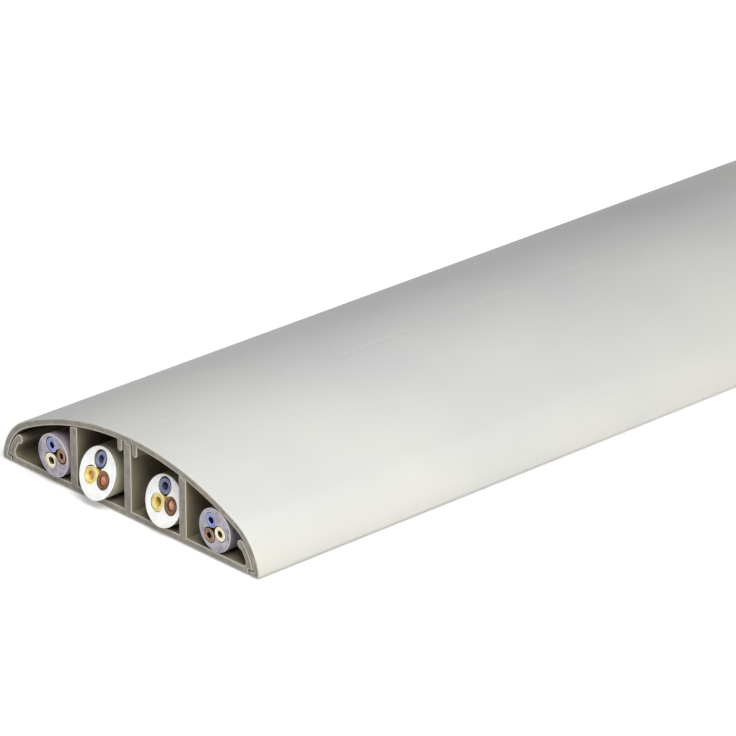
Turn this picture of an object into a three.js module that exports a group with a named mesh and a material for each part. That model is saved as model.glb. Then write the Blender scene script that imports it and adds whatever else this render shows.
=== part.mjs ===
// Floor cord cover: a low curved lid snapped over a base with four cable chambers.
// Base and lid are sawn square from long extruded stock, and a cable lies in each chamber.
// Millimetres. X runs across the cover, Y along it and Z up from the floor.
// The origin is on the floor under the middle of the cover, and the near end is at -Y.

import * as THREE from 'three';

// Length of stock
const coverLength = 1000;

// Cables: solid wires of 1.5 and 2.5 square millimetres, their insulation and their sheaths
const greyWireDiameter = 1.4;
const greyInsulationWall = 0.8;
const greySheathWall = 1.17;
const whiteWireDiameter = 1.8;
const whiteInsulationWall = 0.8;
const whiteSheathWall = 1.39;
const wireGap = 0.05;
const coreGap = 0.05;
const seatGap = 0.1;

// Base: a flat plate with three dividers and a hooked wall along each side
const plateThickness = 1.4;
const dividerThickness = 2;
const innerChamberPlay = 3.75;
const innerChamberHeadroom = 3.84;
const outerChamberPlay = 8.37;
const hookWall = 1.5;
const hookTopAngle = 44;
const beadRadius = 0.95;
const footFillet = 0.8;

// Lid: a crown arc that runs into a tight shoulder at each side and ends in a toe
const lidWall = 1.4;
const shoulderRadius = 11.7;
const shoulderLean = 4;
const toeThickness = 0.9;
const toeLap = 0.85;
const ribThickness = 1.3;
const ribDrop = 2.4;

// Clearances between base and lid
const hookClearance = 0.3;
const dividerClearance = 0.15;
const toeClearance = 0.3;
const toeTipGap = 0.45;
const ribClearance = 0.5;

// Lay of the white cable that lies free in its chamber, as a share of the chamber's play
const secondCableLay = 0.41;

// Facets
const crownSteps = 16;
const shoulderSteps = 12;
const beadSteps = 10;
const filletSteps = 4;
const ribSteps = 6;
const sheathSides = 40;
const coreSides = 16;
const wireSides = 12;

const radians = THREE.MathUtils.degToRad;

// A cable's sizes follow from its wire: three round cores laid together have an outer
// circle of 1 + 2 / sqrt(3) core diameters, and the sheath adds its wall to that.
function cableSizes(wireDiameter, insulationWall, sheathWall) {
  const coreDiameter = wireDiameter + 2 * insulationWall;
  const layUpDiameter = coreDiameter * (1 + 2 / Math.sqrt(3));
  return {
    wireRadius: wireDiameter / 2,
    coreRadius: coreDiameter / 2,
    sheathRadius: layUpDiameter / 2 + sheathWall,
  };
}

const greyCable = cableSizes(greyWireDiameter, greyInsulationWall, greySheathWall);
const whiteCable = cableSizes(whiteWireDiameter, whiteInsulationWall, whiteSheathWall);

// Places across the base
const innerChamberWidth = 2 * whiteCable.sheathRadius + innerChamberPlay;
const outerChamberWidth = 2 * greyCable.sheathRadius + outerChamberPlay;
const dividerSpacing = innerChamberWidth + dividerThickness;
const outerDividerFace = dividerSpacing + dividerThickness / 2;
const hookFootX = outerDividerFace + outerChamberWidth;

// The shoulder's centre serves the lid's outer and inner faces and both faces of the hook
const innerShoulderRadius = shoulderRadius - lidWall;
const hookOuterRadius = innerShoulderRadius - hookClearance;
const hookInnerRadius = hookOuterRadius - hookWall;
const shoulderZ = -shoulderRadius * Math.sin(radians(shoulderLean));
const shoulderX = hookFootX - Math.sqrt(hookInnerRadius ** 2 - (plateThickness - shoulderZ) ** 2);

// The crown is the one arc that is centred on the cover and runs smoothly into both shoulders
const centreDividerTop =
  plateThickness + seatGap + 2 * whiteCable.sheathRadius + innerChamberHeadroom;
const coverHeight = centreDividerTop + dividerClearance + lidWall;
const rise = coverHeight - shoulderZ;
const crownRadius =
  (shoulderX ** 2 + rise ** 2 - shoulderRadius ** 2) / (2 * (rise - shoulderRadius));
const crownZ = coverHeight - crownRadius;
const innerCrownRadius = crownRadius - lidWall;
const tangentAngle = Math.atan2(shoulderZ - crownZ, shoulderX);

// Points of an arc, both ends included
function arc(centreX, centreZ, radius, from, to, steps) {
  const points = [];
  for (let i = 0; i <= steps; i += 1) {
    const angle = from + ((to - from) * i) / steps;
    const x = centreX + radius * Math.cos(angle);
    points.push(new THREE.Vector2(x, centreZ + radius * Math.sin(angle)));
  }
  return points;
}

function circle(centreX, centreZ, radius, sides) {
  return arc(centreX, centreZ, radius, 0, 2 * Math.PI, sides).slice(0, -1);
}

// A symmetric outline from its right half, whose first and last points are on the centre line
function mirrored(half) {
  const left = half.slice(1, -1).map((point) => new THREE.Vector2(-point.x, point.y));
  return [...half, ...left.reverse()];
}

const onCircle = (centreX, centreZ, radius, z) =>
  centreX + Math.sqrt(radius ** 2 - (z - centreZ) ** 2);
const underCrown = (x) => crownZ + Math.sqrt(innerCrownRadius ** 2 - x ** 2);
const point = (x, z) => new THREE.Vector2(x, z);

// An outline in X and Z run along the length. The near end is sawn square unless cut gives the
// distance that the end is set back on the cable's axis, and how that distance grows with height.
function alongTheCover(outline, holes = [], cut = { recess: 0, slope: 0, height: 0 }) {
  const shape = new THREE.Shape(outline);
  shape.holes = holes.map((hole) => new THREE.Path(hole));
  const geometry = new THREE.ExtrudeGeometry(shape, { depth: coverLength, bevelEnabled: false });
  geometry.rotateX(Math.PI / 2);
  geometry.translate(0, coverLength / 2, 0);
  const places = geometry.attributes.position;
  for (let i = 0; i < places.count; i += 1) {
    if (places.getY(i) < 0) {
      const setBack = cut.recess + cut.slope * (cut.height + places.getZ(i));
      places.setY(i, places.getY(i) + setBack);
    }
  }
  return geometry;
}

function piece(name, geometry, material) {
  const mesh = new THREE.Mesh(geometry, material);
  mesh.name = name;
  return mesh;
}

// Base. The plate steps in at each edge, so that the lid's toe can reach under the hooked wall.
const ledgeZ = toeThickness + toeClearance;
const ledgeX = onCircle(shoulderX, shoulderZ, hookOuterRadius, ledgeZ);
const toeTipX = ledgeX - toeLap;
const plateEdgeX = toeTipX - toeTipGap;

function hookedWall() {
  const top = radians(hookTopAngle);
  const foot = Math.asin((ledgeZ - shoulderZ) / hookOuterRadius);
  const beadReach = hookOuterRadius - beadRadius;
  const beadX = shoulderX + beadReach * Math.cos(top);
  const beadZ = shoulderZ + beadReach * Math.sin(top);
  const beadCosine =
    (hookInnerRadius ** 2 - beadReach ** 2 - beadRadius ** 2) / (2 * beadReach * beadRadius);
  const beadEnd = 2 * Math.PI - Math.acos(beadCosine);
  const below = Math.asin((beadRadius * Math.sin(beadEnd)) / hookInnerRadius);

  const filletZ = plateThickness + footFillet;
  const filletX = onCircle(shoulderX, shoulderZ, hookInnerRadius - footFillet, filletZ);
  const filletTop = Math.atan2(filletZ - shoulderZ, filletX - shoulderX);

  return [
    ...arc(shoulderX, shoulderZ, hookOuterRadius, foot, top, shoulderSteps),
    ...arc(beadX, beadZ, beadRadius, top, top + beadEnd, beadSteps).slice(1),
    ...arc(shoulderX, shoulderZ, hookInnerRadius, top + below, filletTop, filletSteps).slice(1),
    ...arc(filletX, filletZ, footFillet, filletTop, -Math.PI / 2, filletSteps).slice(1),
  ];
}

// The right side of a divider, its top and its left side, each going round the outline
function divider(centreX) {
  const right = centreX + dividerThickness / 2;
  const left = centreX - dividerThickness / 2;
  return [
    point(right, plateThickness),
    point(right, underCrown(right) - dividerClearance),
    point(left, underCrown(left) - dividerClearance),
    point(left, plateThickness),
  ];
}

function baseOutline() {
  const centreDividerSide = dividerThickness / 2;
  return mirrored([
    point(0, 0),
    point(plateEdgeX, 0),
    point(plateEdgeX, ledgeZ),
    ...hookedWall(),
    ...divider(dividerSpacing),
    point(centreDividerSide, plateThickness),
    point(centreDividerSide, underCrown(centreDividerSide) - dividerClearance),
    point(0, underCrown(centreDividerSide) - dividerClearance),
  ]);
}

// Lid. Two short ribs under the crown stand either side of the centre divider's top.
function crownRib() {
  const inner = dividerThickness / 2 + ribClearance;
  const outer = inner + ribThickness;
  const tipRadius = ribThickness / 2;
  const tipZ = coverHeight - lidWall - ribDrop + tipRadius;
  return [
    point(outer, underCrown(outer)),
    ...arc(inner + tipRadius, tipZ, tipRadius, 0, -Math.PI, ribSteps),
    point(inner, underCrown(inner)),
  ];
}

function lidOutline() {
  const upright = Math.PI / 2;
  const toeAngle = Math.asin((toeThickness - shoulderZ) / innerShoulderRadius);
  const ribOuter = dividerThickness / 2 + ribClearance + ribThickness;
  const ribAngle = Math.acos(ribOuter / innerCrownRadius);
  return mirrored([
    ...arc(0, crownZ, crownRadius, upright, tangentAngle, crownSteps),
    ...arc(
      shoulderX, shoulderZ, shoulderRadius, tangentAngle, radians(shoulderLean), shoulderSteps,
    ).slice(1),
    point(toeTipX, 0),
    point(toeTipX, toeThickness),
    ...arc(shoulderX, shoulderZ, innerShoulderRadius, toeAngle, tangentAngle, shoulderSteps),
    ...arc(0, crownZ, innerCrownRadius, tangentAngle, ribAngle, crownSteps).slice(1, -1),
    ...crownRib(),
    point(0, coverHeight - lidWall),
  ]);
}

// Cables. Each core's place is given from the cable's axis in core diameters.
const onPlate = (cable) => plateThickness + seatGap + cable.sheathRadius;

// A cable against an outer divider, on the side away from the centre or towards it
const outsideDivider = (cable) => outerDividerFace + seatGap + cable.sheathRadius;
const insideDivider = (cable) =>
  dividerSpacing - dividerThickness / 2 - seatGap - cable.sheathRadius;

// A cable wedged between the plate and the crown
const underTheCrown = (cable) =>
  Math.sqrt(
    (innerCrownRadius - seatGap - cable.sheathRadius) ** 2 - (onPlate(cable) - crownZ) ** 2,
  );

// A cable in an inner chamber, lying towards the outer divider
const looseInChamber = (cable) =>
  dividerSpacing - dividerThickness / 2 - secondCableLay * innerChamberPlay - cable.sheathRadius;

const cables = [
  {
    name: 'cable_1',
    sizes: greyCable,
    sheath: 'grey_sheath',
    x: -outsideDivider(greyCable),
    recess: -0.6,
    slope: 0,
    cores: { blue: [-0.12, 0.7], earth: [-0.2, -0.42], brown: [0.84, 0.21] },
  },
  {
    name: 'cable_2',
    sizes: whiteCable,
    sheath: 'white_sheath',
    x: -looseInChamber(whiteCable),
    recess: -0.55,
    slope: 0.33,
    cores: { blue: [0.03, 0.8], earth: [-0.51, -0.27], brown: [0.57, -0.24] },
  },
  {
    name: 'cable_3',
    sizes: whiteCable,
    sheath: 'white_sheath',
    x: insideDivider(whiteCable),
    recess: 0.55,
    slope: 0.25,
    cores: { blue: [-0.08, 0.83], earth: [-0.44, -0.19], brown: [0.63, -0.07] },
  },
  {
    name: 'cable_4',
    sizes: greyCable,
    sheath: 'grey_sheath',
    x: underTheCrown(greyCable),
    recess: 0,
    slope: 0,
    cores: { blue: [-0.35, 0.58], earth: [0.48, -0.11], brown: [-0.54, -0.52] },
  },
];

const materials = {
  base: new THREE.MeshStandardMaterial({ color: '#938e85', roughness: 0.6, metalness: 0 }),
  lid: new THREE.MeshStandardMaterial({ color: '#c8c8c5', roughness: 0.45, metalness: 0 }),
  grey_sheath: new THREE.MeshStandardMaterial({ color: '#a99fa5', roughness: 0.6, metalness: 0 }),
  white_sheath: new THREE.MeshStandardMaterial({ color: '#f2f0ec', roughness: 0.5, metalness: 0 }),
  blue: new THREE.MeshStandardMaterial({ color: '#5f74a6', roughness: 0.5, metalness: 0 }),
  earth: new THREE.MeshStandardMaterial({ color: '#e6d78f', roughness: 0.5, metalness: 0 }),
  brown: new THREE.MeshStandardMaterial({ color: '#9a6144', roughness: 0.5, metalness: 0 }),
  copper: new THREE.MeshStandardMaterial({ color: '#7a5230', roughness: 0.4, metalness: 1 }),
};

function cable({ name, sizes, sheath, x, recess, slope, cores }) {
  const { wireRadius, coreRadius, sheathRadius } = sizes;
  const group = new THREE.Group();
  group.position.set(x, 0, onPlate(sizes));

  const places = Object.entries(cores).map(([colour, [across, up]]) => ({
    colour,
    x: across * 2 * coreRadius,
    z: up * 2 * coreRadius,
  }));

  const sheathOutline = circle(0, 0, sheathRadius, sheathSides);
  const bores = places.map((core) => circle(core.x, core.z, coreRadius + coreGap, coreSides));
  const sheathCut = { recess, slope, height: 0 };
  const sheathGeometry = alongTheCover(sheathOutline, bores, sheathCut);
  group.add(piece(`${name}_sheath`, sheathGeometry, materials[sheath]));

  for (const core of places) {
    const cut = { recess, slope, height: core.z };
    const insulation = alongTheCover(
      circle(0, 0, coreRadius, coreSides),
      [circle(0, 0, wireRadius + wireGap, wireSides)],
      cut,
    );
    const wire = alongTheCover(circle(0, 0, wireRadius, wireSides), [], cut);
    const coreGroup = new THREE.Group();
    coreGroup.position.set(core.x, 0, core.z);
    coreGroup.add(piece(`${name}_core_${core.colour}`, insulation, materials[core.colour]));
    coreGroup.add(piece(`${name}_wire_${core.colour}`, wire, materials.copper));
    group.add(coreGroup);
  }
  return group;
}

const cover = new THREE.Group();
cover.add(piece('base', alongTheCover(baseOutline()), materials.base));
cover.add(piece('lid', alongTheCover(lidOutline()), materials.lid));
for (const details of cables) cover.add(cable(details));

export default cover;
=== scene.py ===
from math import acos, asin, atan2, cos, exp, hypot, pi, radians, sin, sqrt

import bpy
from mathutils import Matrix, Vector


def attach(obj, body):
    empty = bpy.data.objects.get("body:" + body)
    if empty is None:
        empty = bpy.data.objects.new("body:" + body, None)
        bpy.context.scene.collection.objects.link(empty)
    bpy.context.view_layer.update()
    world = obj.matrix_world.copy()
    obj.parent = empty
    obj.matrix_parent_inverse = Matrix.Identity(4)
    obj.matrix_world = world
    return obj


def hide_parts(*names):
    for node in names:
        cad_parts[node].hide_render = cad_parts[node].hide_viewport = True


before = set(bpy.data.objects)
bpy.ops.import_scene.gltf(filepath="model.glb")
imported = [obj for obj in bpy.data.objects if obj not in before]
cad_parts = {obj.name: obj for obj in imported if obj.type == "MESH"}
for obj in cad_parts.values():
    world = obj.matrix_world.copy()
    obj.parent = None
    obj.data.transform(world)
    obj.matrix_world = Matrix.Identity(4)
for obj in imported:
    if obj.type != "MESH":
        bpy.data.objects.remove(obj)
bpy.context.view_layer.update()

# CAMERA
# A long lens looks down on the near end of the cover from the front right.
# The picture is 736 x 736, so the sensor is square and its whole width is the picture's side.
# The camera's place, aim and focal length were fitted to the outline of the sawn end.

camera_data = bpy.data.cameras.new("camera")
camera_data.sensor_width = 36
camera_data.lens = 285.35
camera_data.clip_start = 0.05
camera_data.clip_end = 60
camera = bpy.data.objects.new("camera", camera_data)
camera.location = (0.7691, -1.1522, 0.4787)
camera.rotation_euler = (radians(90 - 23.954), 0, radians(47.097))
bpy.context.scene.collection.objects.link(camera)
bpy.context.scene.camera = camera

# FLOOR AND LIGHT
# A photographer's light table: a wide white sheet that glows more where the lamps reach less.
# A large soft lamp lights the near end from the front right, two small ones hang over it, two
# soft spots keep to the far half, and a distant key light comes from the right.


def add_node(tree, kind, inputs=(), **settings):
    """Adds a node to a tree, sets its properties, and gives its inputs a value or a link. A node
    among the inputs is linked by its first output."""
    node = tree.nodes.new(kind)
    for name, value in settings.items():
        setattr(node, name, value)
    for key, value in dict(inputs).items():
        if isinstance(value, bpy.types.Node):
            value = value.outputs[0]
        if isinstance(value, bpy.types.NodeSocket):
            tree.links.new(value, node.inputs[key])
        else:
            node.inputs[key].default_value = value
    return node


def linear(hex_colour):
    """An sRGB hex colour as the linear colour that a socket takes."""
    channels = [int(hex_colour[i:i + 2], 16) / 255 for i in (1, 3, 5)]
    straight = [c / 12.92 if c <= 0.04045 else ((c + 0.055) / 1.055) ** 2.4 for c in channels]
    return (*straight, 1)


def new_material(name, finish):
    """A material whose shader has the inputs in finish, the tree that the rest of it is added to,
    and the shader."""
    material = bpy.data.materials.new(name)
    material.use_nodes = True
    shader = material.node_tree.nodes["Principled BSDF"]
    for key, value in finish.items():
        shader.inputs[key].default_value = value
    return material, material.node_tree, shader


floor_half = 40
floor_drop = 0.0002
floor_mesh = bpy.data.meshes.new("floor")
floor_mesh.from_pydata(
    [(x, y, -floor_drop) for x, y in (
        (-floor_half, -floor_half), (floor_half, -floor_half),
        (floor_half, floor_half), (-floor_half, floor_half))],
    [],
    [(0, 1, 2, 3)],
)
floor = bpy.data.objects.new("floor", floor_mesh)
bpy.context.scene.collection.objects.link(floor)

# Opal acrylic lit from below: matt, with a faint cloudiness in its tone. It glows least round the
# cover's near end, where the lamps reach it, and from full_glow_from on it glows evenly.
cloud_width = 1 / 3
near_end = (0, -0.5, 0)
dim_glow_to = 0.03
full_glow_from = 0.33
dim_glow = 0.34
full_glow = 0.8
board, tree, shader = new_material("opal_acrylic", {
    "Roughness": 0.9, "Specular IOR Level": 0.1, "Emission Color": (1, 0.98, 1, 1)})
place = add_node(tree, "ShaderNodeTexCoord").outputs["Object"]
from_end = add_node(tree, "ShaderNodeVectorMath", {0: place, 1: near_end}, operation="DISTANCE")
glow = add_node(tree, "ShaderNodeMapRange", {
    "Value": from_end.outputs["Value"], "From Min": dim_glow_to, "From Max": full_glow_from,
    "To Min": dim_glow, "To Max": full_glow})
tree.links.new(glow.outputs["Result"], shader.inputs["Emission Strength"])
clouds = add_node(tree, "ShaderNodeTexNoise", {
    "Vector": place, "Scale": 1 / cloud_width, "Detail": 2})
tone = add_node(tree, "ShaderNodeMix", {
    "Factor": clouds, "A": linear("#c2c2c1"), "B": linear("#c6c6c5")}, data_type="RGBA")
tree.links.new(tone.outputs["Result"], shader.inputs["Base Color"])
floor_mesh.materials.append(board)

world = bpy.data.worlds.new("studio")
world.use_nodes = True
background = world.node_tree.nodes["Background"]
background.inputs["Color"].default_value = (0.96, 0.95, 1.09, 1)
background.inputs["Strength"].default_value = 0.088
bpy.context.scene.world = world
bpy.context.scene.view_settings.view_transform = "Standard"

# Each lamp's kind, strength, colour, size, place and aim, in metres. The size of the distant one
# is its width across the sky, in radians.
spot_cone = radians(50)
for name, kind, strength, colour, size, place, aim in (
    ("key", "SUN", 1.66, (1.12, 1.06, 0.82), 0.7, (3, -0.34, 0.8), (0, -0.34, 0)),
    ("side_lamp", "AREA", 0.246, (1, 1, 1), 0.15, (0.15, -0.5, 0.3), (0, -0.5, 0)),
    ("overhead_lamp", "AREA", 0.089, (1, 1, 1), 0.12, (0, -0.47, 0.2), (0, -0.47, 0)),
    ("front_lamp", "AREA", 3.16, (0.985, 1.01, 0.99), 0.3, (0.25, -0.62, 0.45), (0, -0.5, 0)),
    ("far_spot", "SPOT", 40, (1, 1, 1), 0.1, (-0.1, 0.15, 1.2), (0, 0.15, 0)),
    ("back_spot", "SPOT", 30, (1, 1, 1), 0.1, (-0.35, 0.95, 0.6), (0, 0.45, 0)),
):
    light = bpy.data.lights.new(name, kind)
    light.energy = strength
    light.color = colour
    if kind == "SUN":
        light.angle = size
    elif kind == "AREA":
        light.size = size
    else:
        light.shadow_soft_size = size
        light.spot_size = spot_cone
        light.spot_blend = 1
    lamp = bpy.data.objects.new(name, light)
    lamp.location = place
    lamp.rotation_euler = (Vector(aim) - Vector(place)).to_track_quat("-Z", "Y").to_euler()
    lamp.visible_camera = False
    bpy.context.scene.collection.objects.link(lamp)

# BASE
# One length of extruded rigid PVC: a flat plate with three upright dividers, and along each side
# a hooked wall with a rounded bead that the lid clips over. Both its ends are sawn square.

cover_length = 1000
plate_thickness = 1.4
divider_thickness = 2
divider_spacing = 15.856
divider_clearance = 0.15
hook_wall = 1.5
hook_top_angle = radians(44)
bead_radius = 0.95
foot_fillet = 0.8
lid_wall = 1.4
shoulder_radius = 11.7
shoulder_x = 25.824
shoulder_z = -0.816
crown_radius = 69.310
crown_z = -52.314
toe_thickness = 0.9
toe_lap = 0.85
toe_clearance = 0.3
toe_tip_gap = 0.45
hook_clearance = 0.3
sawn_edge = 0.12
# The ring across which the painted highlight on a sawn edge fades out.
highlighted_ring = 0.28

inner_shoulder_radius = shoulder_radius - lid_wall
hook_outer_radius = inner_shoulder_radius - hook_clearance
hook_inner_radius = hook_outer_radius - hook_wall
inner_crown_radius = crown_radius - lid_wall
ledge_z = toe_thickness + toe_clearance


def arc(centre_x, centre_z, radius, start, end, steps):
    """Points of an arc, both ends included."""
    angles = [start + (end - start) * i / steps for i in range(steps + 1)]
    return [(centre_x + radius * cos(a), centre_z + radius * sin(a)) for a in angles]


def mirrored(half):
    """A closed outline from its right half, whose ends are on the centre line."""
    return half + [(-x, z) for x, z in half[-2:0:-1]]


def on_hook_circle(radius, z):
    """How far out a circle about the shoulder's centre is at that height."""
    return shoulder_x + sqrt(radius ** 2 - (z - shoulder_z) ** 2)


def under_crown(x):
    """How high the lid's inner face is there."""
    return crown_z + sqrt(inner_crown_radius ** 2 - x ** 2)


ledge_x = on_hook_circle(hook_outer_radius, ledge_z)
toe_tip_x = ledge_x - toe_lap
plate_edge_x = toe_tip_x - toe_tip_gap


def hooked_wall():
    """The wall's outer face, the bead on its top, its inner face and the fillet at its foot."""
    bead_reach = hook_outer_radius - bead_radius
    bead_x = shoulder_x + bead_reach * cos(hook_top_angle)
    bead_z = shoulder_z + bead_reach * sin(hook_top_angle)
    bead_cosine = (
        (hook_inner_radius ** 2 - bead_reach ** 2 - bead_radius ** 2)
        / (2 * bead_reach * bead_radius))
    bead_end = 2 * pi - acos(bead_cosine)
    below = asin(bead_radius * sin(bead_end) / hook_inner_radius)
    fillet_z = plate_thickness + foot_fillet
    fillet_x = on_hook_circle(hook_inner_radius - foot_fillet, fillet_z)
    fillet_top = atan2(fillet_z - shoulder_z, fillet_x - shoulder_x)
    foot = asin((ledge_z - shoulder_z) / hook_outer_radius)
    top = hook_top_angle
    return (
        arc(shoulder_x, shoulder_z, hook_outer_radius, foot, top, steps=12)
        + arc(bead_x, bead_z, bead_radius, top, top + bead_end, steps=28)[1:]
        + arc(shoulder_x, shoulder_z, hook_inner_radius, top + below, fillet_top, steps=16)[1:]
        + arc(fillet_x, fillet_z, foot_fillet, fillet_top, -pi / 2, steps=10)[1:])


def divider(centre):
    """A divider's right side, its top and its left side."""
    right = centre + divider_thickness / 2
    left = centre - divider_thickness / 2
    return [
        (right, plate_thickness),
        (right, under_crown(right) - divider_clearance),
        (left, under_crown(left) - divider_clearance),
        (left, plate_thickness)]


base_outline = mirrored(
    [(0, 0), (plate_edge_x, 0), (plate_edge_x, ledge_z)]
    + hooked_wall()
    + divider(divider_spacing)
    + divider(0)[:2]
    + [(0, divider(0)[1][1])])


def sawn_length_tree():
    """Runs flat closed outlines along Y, closes both ends and rounds the sawn edges over. Outer
    outlines go round anticlockwise and holes clockwise, so plastic is always on the left. The
    attribute highlighted, the mask of a painted highlight, is 1 on the rounded edge and falls to 0
    across a flat ring inside it."""
    tree = bpy.data.node_groups.new("sawn_length", "GeometryNodeTree")
    for label, kind in (
        ("Outlines", "Geometry"), ("Length", "Float"), ("Sawn edge", "Float"), ("Ring", "Float"),
        ("Set back", "Float"), ("Slope", "Float"), ("Height", "Float"),
        ("Skin", "Material"), ("Outer face", "Material"), ("Sawn face", "Material"),
    ):
        tree.interface.new_socket(label, in_out="INPUT", socket_type="NodeSocket" + kind)
    tree.interface.new_socket("Piece", in_out="OUTPUT", socket_type="NodeSocketGeometry")
    given = add_node(tree, "NodeGroupInput").outputs

    # Each point of an outline keeps the direction into the plastic, times its outline's margin.
    profile = add_node(tree, "GeometryNodeMeshToCurve", {"Mesh": given["Outlines"]})
    tangent = add_node(tree, "GeometryNodeInputTangent")
    inward = add_node(tree, "ShaderNodeVectorMath", {0: (0, 0, 1), 1: tangent},
                      operation="CROSS_PRODUCT")
    margin = add_node(tree, "GeometryNodeInputNamedAttribute", {"Name": "margin"},
                      data_type="FLOAT")
    inward = add_node(tree, "ShaderNodeVectorMath", {0: inward, "Scale": margin},
                      operation="SCALE")
    profile = add_node(tree, "GeometryNodeStoreNamedAttribute", {
        "Geometry": profile, "Name": "inward", "Value": inward,
    }, data_type="FLOAT_VECTOR", domain="POINT")
    inward = add_node(tree, "GeometryNodeInputNamedAttribute", {"Name": "inward"},
                      data_type="FLOAT_VECTOR")

    # Stations along the length: each end has one for the ring and a quarter circle for the edge.
    edge_steps = 3
    last = 2 * edge_steps + 3
    index = add_node(tree, "GeometryNodeInputIndex")
    from_far = add_node(tree, "ShaderNodeMath", {0: last, 1: index}, operation="SUBTRACT")
    from_end = add_node(tree, "ShaderNodeMath", {0: index, 1: from_far}, operation="MINIMUM")
    # 1 on the stations of the rounded edge: the mask of the painted highlight along a cut end's
    #                                        edges.
    highlighted = add_node(tree, "ShaderNodeMath", {0: from_end, 1: 0.5}, operation="GREATER_THAN")
    turn = add_node(tree, "ShaderNodeMath", {0: from_end, 1: highlighted}, operation="SUBTRACT")
    turn = add_node(tree, "ShaderNodeMath", {0: turn, 1: edge_steps}, operation="MINIMUM")
    turn = add_node(tree, "ShaderNodeMath", {0: turn, 1: pi / 2 / edge_steps},
                    operation="MULTIPLY")
    sine = add_node(tree, "ShaderNodeMath", {0: turn}, operation="SINE")
    inset = add_node(tree, "ShaderNodeMath", {0: 1, 1: sine}, operation="SUBTRACT")
    inset = add_node(tree, "ShaderNodeMath", {0: inset, 1: given["Sawn edge"]},
                     operation="MULTIPLY")
    ring = add_node(tree, "ShaderNodeMath", {0: 1, 1: highlighted}, operation="SUBTRACT")
    ring = add_node(tree, "ShaderNodeMath", {0: ring, 1: given["Ring"]}, operation="MULTIPLY")
    inset = add_node(tree, "ShaderNodeMath", {0: inset, 1: ring}, operation="ADD")
    cosine = add_node(tree, "ShaderNodeMath", {0: turn}, operation="COSINE")
    depth = add_node(tree, "ShaderNodeMath", {0: 1, 1: cosine}, operation="SUBTRACT")
    depth = add_node(tree, "ShaderNodeMath", {0: depth, 1: given["Sawn edge"]},
                     operation="MULTIPLY")
    half_length = add_node(tree, "ShaderNodeMath", {0: given["Length"], 1: 2},
                           operation="DIVIDE")
    side = add_node(tree, "ShaderNodeMath", {0: index, 1: last / 2}, operation="GREATER_THAN")
    side = add_node(tree, "ShaderNodeMath", {0: side, 1: 2}, operation="MULTIPLY")
    side = add_node(tree, "ShaderNodeMath", {0: side, 1: 1}, operation="SUBTRACT")
    station = add_node(tree, "ShaderNodeMath", {0: half_length, 1: depth}, operation="SUBTRACT")
    station = add_node(tree, "ShaderNodeMath", {0: side, 1: station}, operation="MULTIPLY")
    station = add_node(tree, "ShaderNodeCombineXYZ", {"Z": station})
    path = add_node(tree, "GeometryNodeCurvePrimitiveLine", {"Start": (0, 0, 0), "End": (0, 0, 1)})
    path = add_node(tree, "GeometryNodeResampleCurve", {"Curve": path, "Count": last + 1})
    path = add_node(tree, "GeometryNodeSetPosition", {"Geometry": path, "Position": station})
    for label, value in (("inset", inset), ("highlighted", highlighted)):
        path = add_node(tree, "GeometryNodeStoreNamedAttribute", {
            "Geometry": path, "Name": label, "Value": value}, data_type="FLOAT", domain="POINT")

    # The walls, drawn in towards the plastic at each end by the inset of their station.
    walls = add_node(tree, "GeometryNodeCurveToMesh", {"Curve": path, "Profile Curve": profile})
    inset = add_node(tree, "GeometryNodeInputNamedAttribute", {"Name": "inset"},
                     data_type="FLOAT")
    offset = add_node(tree, "ShaderNodeVectorMath", {0: inward, "Scale": inset},
                      operation="SCALE")
    walls = add_node(tree, "GeometryNodeSetPosition", {"Geometry": walls, "Offset": offset})
    walls = add_node(tree, "GeometryNodeSetMaterial", {
        "Geometry": walls, "Material": given["Skin"]})

    # The two cut faces, inside their rings. The merge joins them to the walls.
    weld_gap = 2e-6
    offset = add_node(tree, "ShaderNodeMath", {0: given["Sawn edge"], 1: given["Ring"]},
                      operation="ADD")
    offset = add_node(tree, "ShaderNodeVectorMath", {0: inward, "Scale": offset},
                      operation="SCALE")
    rim = add_node(tree, "GeometryNodeSetPosition", {"Geometry": profile, "Offset": offset})
    face = add_node(tree, "GeometryNodeFillCurve", {"Curve": rim}, mode="TRIANGLES")
    face = add_node(tree, "GeometryNodeStoreNamedAttribute", {
        "Geometry": face, "Name": "inset", "Value": 1.0}, data_type="FLOAT", domain="POINT")
    face = add_node(tree, "GeometryNodeSetMaterial", {
        "Geometry": face, "Material": given["Sawn face"]})
    lift = add_node(tree, "ShaderNodeCombineXYZ", {"Z": half_length})
    near = add_node(tree, "GeometryNodeSetPosition", {"Geometry": face, "Offset": lift})
    drop = add_node(tree, "ShaderNodeVectorMath", {0: lift, "Scale": -1}, operation="SCALE")
    far = add_node(tree, "GeometryNodeSetPosition", {"Geometry": face, "Offset": drop})
    far = add_node(tree, "GeometryNodeFlipFaces", {"Mesh": far})
    whole = add_node(tree, "GeometryNodeJoinGeometry")
    for part in (far, near, walls):
        tree.links.new(part.outputs[0], whole.inputs[0])
    whole = add_node(tree, "GeometryNodeMergeByDistance", {
        "Geometry": whole, "Distance": weld_gap})

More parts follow.
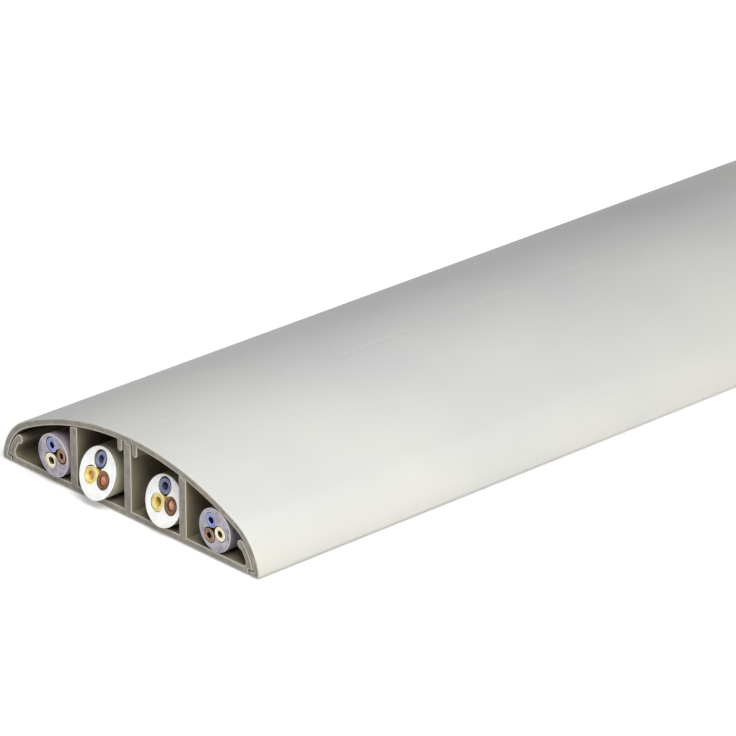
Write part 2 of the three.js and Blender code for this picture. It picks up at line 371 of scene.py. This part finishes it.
    # Outlines are drawn flat, so X and Y here become X and Z, and the near end comes to -Y. There
    # it is set back, and more so with height where the cut has a slope.
    whole = add_node(tree, "GeometryNodeTransform", {
        "Geometry": whole, "Rotation": (pi / 2, 0, 0)})
    place = add_node(tree, "GeometryNodeInputPosition")
    place = add_node(tree, "ShaderNodeSeparateXYZ", {0: place}).outputs
    rise = add_node(tree, "ShaderNodeMath", {0: place["Z"], 1: given["Height"]},
                    operation="SUBTRACT")
    rise = add_node(tree, "ShaderNodeMath", {0: given["Slope"], 1: rise}, operation="MULTIPLY")
    shift = add_node(tree, "ShaderNodeMath", {0: given["Set back"], 1: rise}, operation="ADD")
    near_half = add_node(tree, "ShaderNodeMath", {0: place["Y"], 1: 0}, operation="LESS_THAN")
    shift = add_node(tree, "ShaderNodeMath", {0: shift, 1: near_half}, operation="MULTIPLY")
    shift = add_node(tree, "ShaderNodeCombineXYZ", {"Y": shift})
    whole = add_node(tree, "GeometryNodeSetPosition", {"Geometry": whole, "Offset": shift})

    outer = add_node(tree, "GeometryNodeInputNamedAttribute", {"Name": "outer"},
                     data_type="FLOAT")
    whole = add_node(tree, "GeometryNodeRealizeInstances", {"Geometry": whole})
    for label, measure, least in (("Outer face", outer, 0.9), ("Sawn face", inset, 1e-6)):
        chosen = add_node(tree, "ShaderNodeMath", {0: measure, 1: least},
                          operation="GREATER_THAN")
        whole = add_node(tree, "GeometryNodeSetMaterial", {
            "Geometry": whole, "Selection": chosen, "Material": given[label]})
    add_node(tree, "NodeGroupOutput", {"Piece": whole})
    return tree


sawn_length = sawn_length_tree()
socket_of = {item.name: item.identifier for item in sawn_length.interface.items_tree}
crease_angle = radians(38)
end_facing = 0.93


def cut_piece(name, outlines, skin, sawn_face, margins=(1, 1), outer=(), outer_face_material=None,
              **sizes):
    """A piece of that name from its outlines and sizes in millimetres, as a plain mesh. margins
    are shares of the sawn edge that the outer outline and the holes have, and outer says of each
    point whether it is on the outer face, which takes its own material in place of skin."""
    points, edges, shares = [], [], []
    for outline, share in zip(outlines, margins):
        first, count = len(points), len(outline)
        points += [(x / 1000, z / 1000, 0) for x, z in outline]
        edges += [(first + i, first + (i + 1) % count) for i in range(count)]
        shares += [share] * count
    mesh = bpy.data.meshes.new(name)
    mesh.from_pydata(points, edges, [])
    for label, values in (("margin", shares), ("outer", outer or [0] * len(points))):
        mesh.attributes.new(label, "FLOAT", "POINT").data.foreach_set("value", values)
    piece = bpy.data.objects.new(name, mesh)
    bpy.context.scene.collection.objects.link(piece)
    modifier = piece.modifiers.new("sawn_length", "NODES")
    modifier.node_group = sawn_length
    modifier[socket_of["Skin"]] = skin
    modifier[socket_of["Outer face"]] = outer_face_material or skin
    modifier[socket_of["Sawn face"]] = sawn_face
    modifier[socket_of["Slope"]] = float(sizes.pop("Slope", 0))
    lengths = {
        "Length": cover_length, "Sawn edge": sawn_edge, "Ring": highlighted_ring,
        "Set back": 0, "Height": 0, **sizes}
    for label, millimetres in lengths.items():
        modifier[socket_of[label]] = millimetres / 1000
    bpy.context.view_layer.update()
    evaluated = piece.evaluated_get(bpy.context.evaluated_depsgraph_get())
    finished = bpy.data.meshes.new_from_object(evaluated)
    piece.modifiers.clear()
    piece.data = finished
    finished.name = name
    for label in ("inward", "inset", "margin", "outer"):
        finished.attributes.remove(finished.attributes[label])
    finished.shade_smooth()
    finished.set_sharp_from_angle(angle=crease_angle)
    for polygon in finished.polygons:
        if abs(polygon.normal.y) > end_facing:
            polygon.use_smooth = False
    bpy.data.meshes.remove(mesh)
    return piece


def plastic(name, dark, light, roughness, patch, grain, relief, stretch=(1, 1, 1), rim=None):
    """Plastic whose tone drifts between two colours over patches of that size, with a grain in
    relief. Sizes are millimetres, stretch draws the grain out along X, Y or Z, and rim is the
    paler colour painted along a cut end's edges: a painted highlight."""
    material, tree, shader = new_material(name, {"Roughness": roughness})
    place = add_node(tree, "ShaderNodeTexCoord").outputs["Object"]
    drift = add_node(tree, "ShaderNodeTexNoise", {
        "Vector": place, "Scale": 1000 / patch, "Detail": 3})
    tone = add_node(tree, "ShaderNodeValToRGB", {"Fac": drift})
    for stop, position, shade in zip(tone.color_ramp.elements, (0.35, 0.65), (dark, light)):
        stop.position = position
        stop.color = linear(shade)
    colour = tone.outputs["Color"]
    if rim:
        # Painted highlight: a cut end's edges are mixed towards the paler rim colour.
        highlighted = add_node(tree, "ShaderNodeAttribute", attribute_name="highlighted").outputs["Fac"]
        colour = add_node(tree, "ShaderNodeMix", {
            "Factor": highlighted, "A": colour, "B": linear(rim)}, data_type="RGBA").outputs["Result"]
    tree.links.new(colour, shader.inputs["Base Color"])
    drawn_out = add_node(tree, "ShaderNodeMapping", {
        "Vector": place, "Scale": [1000 / grain / s for s in stretch]})
    lines = add_node(tree, "ShaderNodeTexNoise", {"Vector": drawn_out, "Scale": 1, "Detail": 2})
    bump = add_node(tree, "ShaderNodeBump", {
        "Height": lines, "Strength": 1, "Distance": relief / 1000})
    tree.links.new(bump.outputs["Normal"], shader.inputs["Normal"])
    return material


# Rigid PVC as it leaves the die: a satin skin with faint lines along the length. Its tone is
# darker than the sawn plastic's: partly the plastic's own grey, partly painted shade for the
# chambers' insides and the lid's underside.
pvc_skin_with_painted_shade = plastic("extruded_rigid_pvc", "#6c6554", "#786f5f", roughness=0.42,
                   patch=18, grain=0.5, relief=0.004, stretch=(1, 150, 1))
# Rigid PVC that a fine saw has cut: matt, with the marks of its teeth across the wall, and paler
# along its edges: a painted highlight where the edges catch the light.
pvc_sawn = plastic("sawn_rigid_pvc", "#7e786f", "#958e85", roughness=0.7,
                   patch=1.5, grain=0.35, relief=0.03, stretch=(1, 1, 9), rim="#b4afa7")

base = cut_piece("base_extrusion", [base_outline], pvc_skin_with_painted_shade, pvc_sawn)
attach(base, "root")
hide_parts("base")

# CABLES
# Two grey and two white three-core cables, one in each chamber. A soft PVC sheath is extruded
# round three insulated cores, each with one solid copper wire, and a cutter has gone through all.

core_gap = 0.05
seat_gap = 0.1
bore_gap = 0.14
soft_edge = 0.08
# The ring across which the painted highlight on a cable's cut edge fades out.
cable_highlighted_ring = 0.12


def oval(centre_x, centre_z, radius, sides, squeeze=(1, 1)):
    """A circle with that many sides, squeezed to those shares of its width and height."""
    points = arc(0, 0, radius, 0, 2 * pi, sides)[:-1]
    return [(centre_x + x * squeeze[0], centre_z + z * squeeze[1]) for x, z in points]


def hollow(bores, radius):
    """The outline of the hollow that three round bores of that radius make together."""
    middle_x = sum(x for x, z in bores) / 3
    middle_z = sum(z for x, z in bores) / 3
    least_reach = radius / 2
    steps = 144
    outline = []
    for i in range(steps):
        across, up = cos(2 * pi * i / steps), sin(2 * pi * i / steps)
        far = least_reach
        for x, z in bores:
            along = (x - middle_x) * across + (z - middle_z) * up
            aside = (x - middle_x) * up - (z - middle_z) * across
            if abs(aside) < radius:
                far = max(far, along + sqrt(radius ** 2 - aside ** 2))
        outline.append((middle_x + far * across, middle_z + far * up))
    return outline


# Soft PVC sheathing, satin along its length, its outside far darker than its cut end: painted
# shade for the cables' sides in the chambers. On the cut end the blade has smeared it a little,
# and it is paler along its edges: a painted highlight.
grey_sheathing_in_painted_shade = plastic("grey_flexible_pvc", "#70686e", "#7e757b", roughness=0.5,
                         patch=6, grain=0.6, relief=0.01, stretch=(1, 20, 1))
grey_cut = plastic("cut_grey_flexible_pvc", "#7d7683", "#b4acb8", roughness=0.6,
                   patch=1.3, grain=0.5, relief=0.05, stretch=(3, 1, 1), rim="#ccc5cd")
# White sheathing whose outside is a dark grey-beige: painted shade, while its cut end stays white.
white_sheathing_in_painted_shade = plastic("white_flexible_pvc", "#8f8a7a", "#9d9886", roughness=0.5,
                          patch=6, grain=0.6, relief=0.01, stretch=(1, 20, 1))
white_cut = plastic("cut_white_flexible_pvc", "#e9e8f0", "#f7f6f3", roughness=0.6,
                    patch=1.6, grain=0.5, relief=0.03, stretch=(3, 1, 1), rim="#fbfaf6")
sheathing = {"grey": (grey_sheathing_in_painted_shade, grey_cut), "white": (white_sheathing_in_painted_shade, white_cut)}

# Core insulation: flexible PVC in the mains colours. A blade drags one tone over the next, so a
# cut end is blotched, and it is palest along its edges: a painted highlight. The last colour, on
# the bore and the core's outside, is painted shade for the bore where the wire lies back: in most
# cores a dark tone of the insulation.
insulating = {}
for kind, colour, dark, light, rim, bore in (
    ("grey", "blue", "#56609c", "#98a0cf", "#aab3dc", "#1d2763"),
    ("grey", "earth", "#e6d6a4", "#f8edd6", "#fbf3e2", "#6b5a2c"),
    ("grey", "brown", "#5f3a28", "#98704f", "#b48d70", "#2f1c14"),
    ("white", "blue", "#525776", "#878dae", "#858bab", "#434863"),
    ("white", "earth", "#cdb455", "#e6d894", "#ecdfa2", "#d0b562"),
    ("white", "brown", "#4a2c19", "#94653f", "#6f4529", "#3a2015"),
):
    finish = {"roughness": 0.5, "patch": 1.4, "grain": 0.4, "relief": 0.02}
    # The tube's skin, in its bore and outside, takes the bore colour: painted shade.
    insulating[kind, colour] = (
        plastic(f"{colour}_core_pvc_in_{kind}_cable", bore, bore, **finish),
        plastic(f"cut_{colour}_core_pvc_in_{kind}_cable", dark, light, rim=rim, **finish))

# Solid copper wire: a dulled red metal with darker stains, and its cut end, which the cutter has
# left clean but scored all over, so that it is pale and matt.
stain_width = 1 / 0.9
drawn = {}
for name, dark, light, roughness in (
    ("drawn_copper", "#8a5538", "#e3a37e", 0.4), ("cut_copper", "#e3a182", "#fddcc6", 0.85),
):
    copper, tree, shader = new_material(name, {"Roughness": roughness, "Metallic": 1})
    place = add_node(tree, "ShaderNodeTexCoord").outputs["Object"]
    stain = add_node(tree, "ShaderNodeTexNoise", {
        "Vector": place, "Scale": 1000 / stain_width, "Detail": 2})
    tone = add_node(tree, "ShaderNodeValToRGB", {"Fac": stain})
    for stop, position, shade in zip(tone.color_ramp.elements, (0.38, 0.6), (dark, light)):
        stop.position = position
        stop.color = linear(shade)
    tree.links.new(tone.outputs["Color"], shader.inputs["Base Color"])
    drawn[name] = copper

# The radius of a wire, of its insulated core and of the whole cable. The wires are 1.5 and 2.5
# square millimetres.
cable_kinds = {
    "grey": {"wire": 0.7, "core": 1.5, "sheath": 4.402},
    "white": {"wire": 0.9, "core": 1.7, "sheath": 5.053},
}
# Each cable's place across the cover and its cut. Then for each core its place in core diameters,
# how the cutter has squeezed it, which way its bore gapes, and how far its wire lies back.
for name, kind, x, set_back, slope, cores in (
    ("cable_1", "grey", -21.358, -0.6, 0, {
        "blue": ((-0.12, 0.7), (0.95, 1), (-0.12, 0.05), 2.4),
        "earth": ((-0.2, -0.42), (1.15, 1.02), (-0.2, 0.1), 2.4),
        "brown": ((0.8, 0.21), (0.8, 0.95), (-0.05, -0.1), 2.4)}),
    ("cable_2", "white", -8.27, -0.55, 0.33, {
        "blue": ((0.03, 0.8), (0.8, 0.88), (-0.1, 0), 1.6),
        "earth": ((-0.51, -0.27), (1.1, 1), (0, 0.15), 0.9),
        "brown": ((0.55, -0.24), (0.95, 1.05), (0.05, 0), 0.3)}),
    ("cable_3", "white", 9.703, 0.55, 0.25, {
        "blue": ((-0.08, 0.83), (0.95, 0.86), (0, 0), 1.6),
        "earth": ((-0.44, -0.19), (1, 1.04), (-0.1, -0.12), 1.8),
        "brown": ((0.62, -0.07), (1, 1.08), (0.03, -0.14), 0.4)}),
    ("cable_4", "grey", 24.98, 0, 0, {
        "blue": ((-0.35, 0.58), (1.02, 0.98), (0, 0), 2.4),
        "earth": ((0.48, -0.11), (0.95, 0.97), (0, 0), 2),
        "brown": ((-0.54, -0.52), (0.95, 0.92), (0.1, 0.1), 2)}),
):
    sizes = cable_kinds[kind]
    z = plate_thickness + seat_gap + sizes["sheath"]
    cut = {
        "Set back": set_back, "Slope": slope, "Height": z,
        "Sawn edge": soft_edge, "Ring": cable_highlighted_ring}
    diameter = 2 * sizes["core"]
    bores = [
        (x + across * diameter + gape_x, z + up * diameter + gape_z)
        for (across, up), squeeze, (gape_x, gape_z), depth in cores.values()]
    skin, cut_face = sheathing[kind]
    sheath = cut_piece(
        name + "_sheathing",
        [oval(x, z, sizes["sheath"], sides=96), hollow(bores, sizes["core"] + bore_gap)[::-1]],
        skin, cut_face, margins=(1, 0), **cut)
    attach(sheath, "root")
    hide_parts(name + "_sheath")
    for colour, ((across, up), squeeze, gape, depth) in cores.items():
        core_x, core_z = x + across * diameter, z + up * diameter
        skin, cut_face = insulating[kind, colour]
        tube = cut_piece(
            f"{name}_{colour}_insulation",
            [oval(core_x, core_z, sizes["core"], sides=48, squeeze=squeeze),
             oval(core_x, core_z, sizes["wire"] + core_gap, sides=32, squeeze=squeeze)[::-1]],
            skin, cut_face, **cut)
        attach(tube, "root")
        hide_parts(f"{name}_core_{colour}")
        wire = cut_piece(
            f"{name}_{colour}_conductor",
            [oval(core_x, core_z, sizes["wire"], sides=32, squeeze=squeeze)],
            drawn["drawn_copper"], drawn["cut_copper"],
            **{**cut, "Length": cover_length - 2 * depth})
        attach(wire, "root")
        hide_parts(f"{name}_wire_{colour}")

# LID
# One length of the same grey plastic, its outer face painted pale: painted light for the bright
# light that falls on it. A low crown runs into a tight shoulder on each side, with a toe along
# each bottom edge and two short ribs by the centre divider.

rib_thickness = 1.3
rib_drop = 2.4
rib_clearance = 0.5
foot_round = 0.8
sink_depth = 0.04
sink_width = 0.6
sink_step = 0.25
cover_height = crown_z + crown_radius
tangent_angle = atan2(shoulder_z - crown_z, shoulder_x)


def crown():
    """The crown's outer arc from the centre to the shoulder, with the sink line along its top."""
    fine_steps, coarse_steps = 12, 46
    angles = [pi / 2 - sink_step * i / crown_radius for i in range(fine_steps)]
    beside = angles[-1]
    sweep = (tangent_angle - beside) / coarse_steps
    angles += [beside + sweep * i for i in range(1, coarse_steps + 1)]
    points = []
    for angle in angles:
        x = crown_radius * cos(angle)
        sink = sink_depth * exp(-(x / sink_width) ** 2)
        points.append((x, crown_z + crown_radius * sin(angle) - sink))
    return points


def lid_half():
    """The lid's right half: over the crown and down to the foot, then back along its inside."""
    foot_reach = shoulder_radius - foot_round
    foot_angle = asin((foot_round - shoulder_z) / foot_reach)
    foot_x = shoulder_x + foot_reach * cos(foot_angle)
    toe_angle = asin((toe_thickness - shoulder_z) / inner_shoulder_radius)
    inner = divider_thickness / 2 + rib_clearance
    outer = inner + rib_thickness
    tip = rib_thickness / 2
    rib_angle = acos(outer / inner_crown_radius)
    return (
        crown()
        + arc(shoulder_x, shoulder_z, shoulder_radius, tangent_angle, foot_angle, steps=32)[1:]
        + arc(foot_x, foot_round, foot_round, foot_angle, -pi / 2, steps=10)[1:]
        + [(toe_tip_x, 0), (toe_tip_x, toe_thickness)]
        + arc(shoulder_x, shoulder_z, inner_shoulder_radius, toe_angle, tangent_angle, steps=32)
        + arc(0, crown_z, inner_crown_radius, tangent_angle, rib_angle, steps=40)[1:]
        + arc(inner + tip, cover_height - lid_wall - rib_drop + tip, tip, 0, -pi, steps=12)
        + [(inner, under_crown(inner)), (0, cover_height - lid_wall)])


def on_outer_face(x, z):
    """Whether a point of the lid's outline is nearer its outer face than its inner one."""
    x = abs(x)
    if x < crown_radius * cos(tangent_angle):
        return hypot(x, z - crown_z) > crown_radius - lid_wall / 2
    return hypot(x - shoulder_x, z - shoulder_z) > shoulder_radius - lid_wall / 2 and z > 0


# The lid's outer face, satin and neutral, with the same faint lines from the die. Its pale tone,
# far paler than the same plastic's cut and inside, is painted light for the bright light that
# falls on the lid.
lid_outer_face_painted_light = plastic("pvc_outer_face_painted_light", "#a6a6a8", "#adadab", roughness=0.42,
                   patch=45, grain=0.5, relief=0.004, stretch=(1, 150, 1))
lid_outline = mirrored(lid_half())[::-1]
outer = [on_outer_face(x, z) for x, z in lid_outline]
lid = cut_piece("lid_extrusion", [lid_outline], pvc_skin_with_painted_shade, pvc_sawn,
                outer=outer, outer_face_material=lid_outer_face_painted_light)
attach(lid, "root")
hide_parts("lid")
